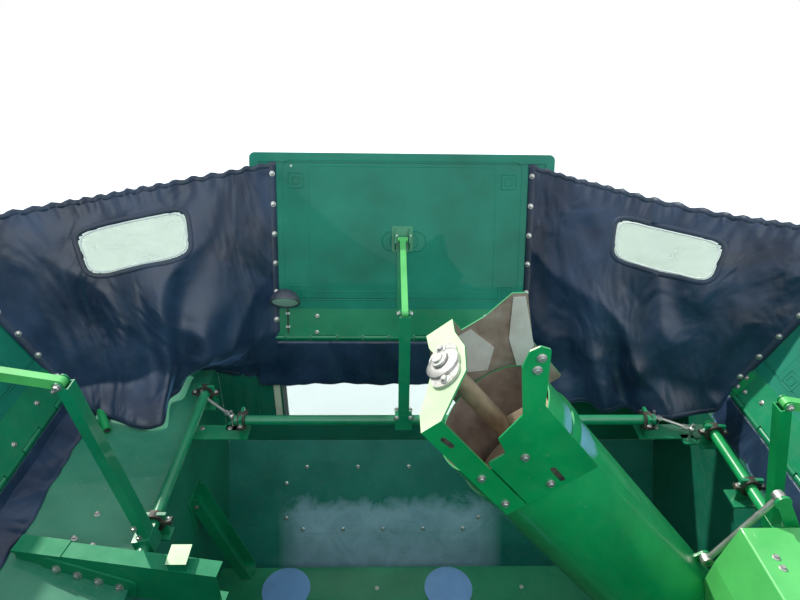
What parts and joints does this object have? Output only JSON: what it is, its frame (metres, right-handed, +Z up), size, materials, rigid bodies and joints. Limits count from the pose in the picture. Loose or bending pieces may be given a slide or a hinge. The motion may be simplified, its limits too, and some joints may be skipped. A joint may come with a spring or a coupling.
{
  "type": "combine harvester grain tank with fold-in covers and loading auger",
  "caption": "Grain tank with four linked fold-in covers, fabric corners, cross augers and a folding loading auger.",
  "frame": {"origin": "centre of the four bolt holes in the base rails, on the underside of the rails", "axes": "+Y forwards, +X to the right seen from the rear, +Z up"},
  "size_m": [3.3732, 2.5936, 2.4328],
  "materials": {
    "green_paint": "semi-gloss, dusty",
    "cover_plastic": "fine-grained moulding",
    "fabric": "coated, soft sheen",
    "rubber": "matt",
    "glass": "clear",
    "rod_steel": "zinc plated",
    "worn_steel": "grain-polished, brown",
    "lamp_grey": "matt"
  },
  "bodies": {
    "tank": {"access_cover": "green_paint", "auger_foot": "green_paint", "base_rails": "green_paint", "brackets_left": "green_paint", "brackets_right": "green_paint", "fabric_front_left": "fabric", "fabric_front_right": "fabric", "fabric_rear_left": "fabric", "fabric_rear_right": "fabric", "floor": "green_paint", "front_auger_cover": "green_paint", "front_flap": "rubber", "front_hinge": "green_paint", "front_slope": "green_paint", "front_wall": "green_paint", "left_brace": "green_paint", "left_flap": "rubber", "left_hinge": "green_paint", "left_wall": "green_paint", "rear_auger_cover": "green_paint", "rear_flap": "rubber", "rear_hinge": "green_paint", "rear_slope": "green_paint", "rear_wall": "green_paint", "right_flap": "rubber", "right_hinge": "green_paint", "right_wall": "green_paint", "rim": "green_paint", "sample_chute": "green_paint", "window_gasket": "rubber", "window_glass": "glass"},
    "front_cover": {"front_cover": "cover_plastic", "front_cover_strip": "green_paint", "lamp": "lamp_grey"},
    "rear_cover": {"rear_cover": "cover_plastic", "rear_cover_strip": "green_paint"},
    "left_cover": {"left_cover": "cover_plastic", "left_cover_strip": "green_paint"},
    "right_cover": {"right_cover": "cover_plastic", "right_cover_strip": "green_paint"},
    "auger": {"auger_tube": "green_paint", "auger_mouth": "green_paint", "auger_drive_box": "green_paint"},
    "front_shaft": {"front_shaft": "green_paint"},
    "front_link": {"front_link": "green_paint"},
    "rear_shaft": {"rear_shaft": "green_paint"},
    "rear_link": {"rear_link": "green_paint"},
    "left_shaft": {"left_shaft": "green_paint"},
    "left_link": {"left_link": "green_paint"},
    "right_shaft": {"right_shaft": "green_paint"},
    "right_link": {"right_link": "green_paint"},
    "auger_screw": {"auger_screw": "worn_steel"},
    "auger_rod": {"auger_rod": "rod_steel"},
    "front_cross_auger": {"front_cross_auger": "worn_steel"},
    "rear_cross_auger": {"rear_cross_auger": "worn_steel"}
  },
  "joints": [
    {"name": "left_shaft_turn", "type": "hinge", "parent": "tank", "child": "left_shaft", "pos_m": [-0.815, 0.35, 1.5], "axis": [0, 1, 0], "range_deg": [0, 97], "deforming": ["fabric_front_left", "fabric_front_right", "fabric_rear_left", "fabric_rear_right"]},
    {"name": "left_cover_fold", "type": "hinge", "parent": "tank", "child": "left_cover", "pos_m": [-1.31, 0, 1.6], "axis": [0, 1, 0], "range_deg": [0, 97.01]},
    {"name": "left_link_pivot", "type": "hinge", "parent": "left_shaft", "child": "left_link", "pos_m": [-0.92078, 0.011, 2.1195], "axis": [0, 1, 0], "range_deg": [-97.01, 0]},
    {"name": "right_shaft_turn", "type": "hinge", "parent": "tank", "child": "right_shaft", "pos_m": [1.205, 0.2, 1.5], "axis": [0, -1, 0], "range_deg": [0, 78.39]},
    {"name": "right_cover_fold", "type": "hinge", "parent": "tank", "child": "right_cover", "pos_m": [1.31, 0, 1.6], "axis": [0, -1, 0], "range_deg": [0, 97.01]},
    {"name": "right_link_pivot", "type": "hinge", "parent": "right_shaft", "child": "right_link", "pos_m": [1.065, 0.054, 2.015], "axis": [0, -1, 0], "range_deg": [-33.38, 0]},
    {"name": "front_shaft_turn", "type": "hinge", "parent": "tank", "child": "front_shaft", "pos_m": [0.17, 0.565, 1.5], "axis": [1, 0, 0], "range_deg": [0, 97.01]},
    {"name": "front_cover_fold", "type": "hinge", "parent": "tank", "child": "front_cover", "pos_m": [0, 1, 1.6], "axis": [1, 0, 0], "range_deg": [0, 97.01]},
    {"name": "front_link_pivot", "type": "hinge", "parent": "front_shaft", "child": "front_link", "pos_m": [0, 0.66405, 1.93187], "axis": [1, 0, 0], "range_deg": [-97.01, 0]},
    {"name": "rear_shaft_turn", "type": "hinge", "parent": "tank", "child": "rear_shaft", "pos_m": [0.17, -0.565, 1.5], "axis": [-1, 0, 0], "range_deg": [0, 97.01]},
    {"name": "rear_cover_fold", "type": "hinge", "parent": "tank", "child": "rear_cover", "pos_m": [0, -1, 1.6], "axis": [-1, 0, 0], "range_deg": [0, 97.01]},
    {"name": "rear_link_pivot", "type": "hinge", "parent": "rear_shaft", "child": "rear_link", "pos_m": [0.35, -0.66405, 1.93187], "axis": [-1, 0, 0], "range_deg": [-97.01, 0]},
    {"name": "auger_fold", "type": "hinge", "parent": "tank", "child": "auger", "pos_m": [1.15, -0.1, 0.946], "axis": [0, -1, 0], "range_deg": [0, 36.81]},
    {"name": "auger_rod_pivot", "type": "hinge", "parent": "auger", "child": "auger_rod", "pos_m": [0.871, -0.13, 1.576], "axis": [0, -1, 0], "range_deg": [-84.07, 0]},
    {"name": "auger_screw_turn", "type": "hinge", "parent": "auger", "child": "auger_screw", "pos_m": [1.15, -0.1, 0.946], "axis": [-0.6361, 0, 0.7716], "continuous": true},
    {"name": "front_cross_auger_turn", "type": "hinge", "parent": "tank", "child": "front_cross_auger", "pos_m": [0, 0.48, 0.295], "axis": [1, 0, 0], "continuous": true},
    {"name": "rear_cross_auger_turn", "type": "hinge", "parent": "tank", "child": "rear_cross_auger", "pos_m": [0, -0.48, 0.295], "axis": [1, 0, 0], "continuous": true}
  ],
  "couplings": [
    {"joint": "left_cover_fold", "follows": "left_shaft_turn", "ratio": 1},
    {"joint": "left_link_pivot", "follows": "left_shaft_turn", "ratio": -1},
    {"joint": "right_shaft_turn", "follows": "left_shaft_turn", "ratio": 0.808},
    {"joint": "right_cover_fold", "follows": "left_shaft_turn", "ratio": 1},
    {"joint": "right_link_pivot", "follows": "left_shaft_turn", "ratio": -0.344},
    {"joint": "front_shaft_turn", "follows": "left_shaft_turn", "ratio": 1},
    {"joint": "front_cover_fold", "follows": "left_shaft_turn", "ratio": 1},
    {"joint": "front_link_pivot", "follows": "left_shaft_turn", "ratio": -1},
    {"joint": "rear_shaft_turn", "follows": "left_shaft_turn", "ratio": 1},
    {"joint": "rear_cover_fold", "follows": "left_shaft_turn", "ratio": 1},
    {"joint": "rear_link_pivot", "follows": "left_shaft_turn", "ratio": -1},
    {"joint": "auger_fold", "follows": "left_shaft_turn", "ratio": 0.37938},
    {"joint": "auger_rod_pivot", "follows": "left_shaft_turn", "ratio": -0.8666}
  ]
}
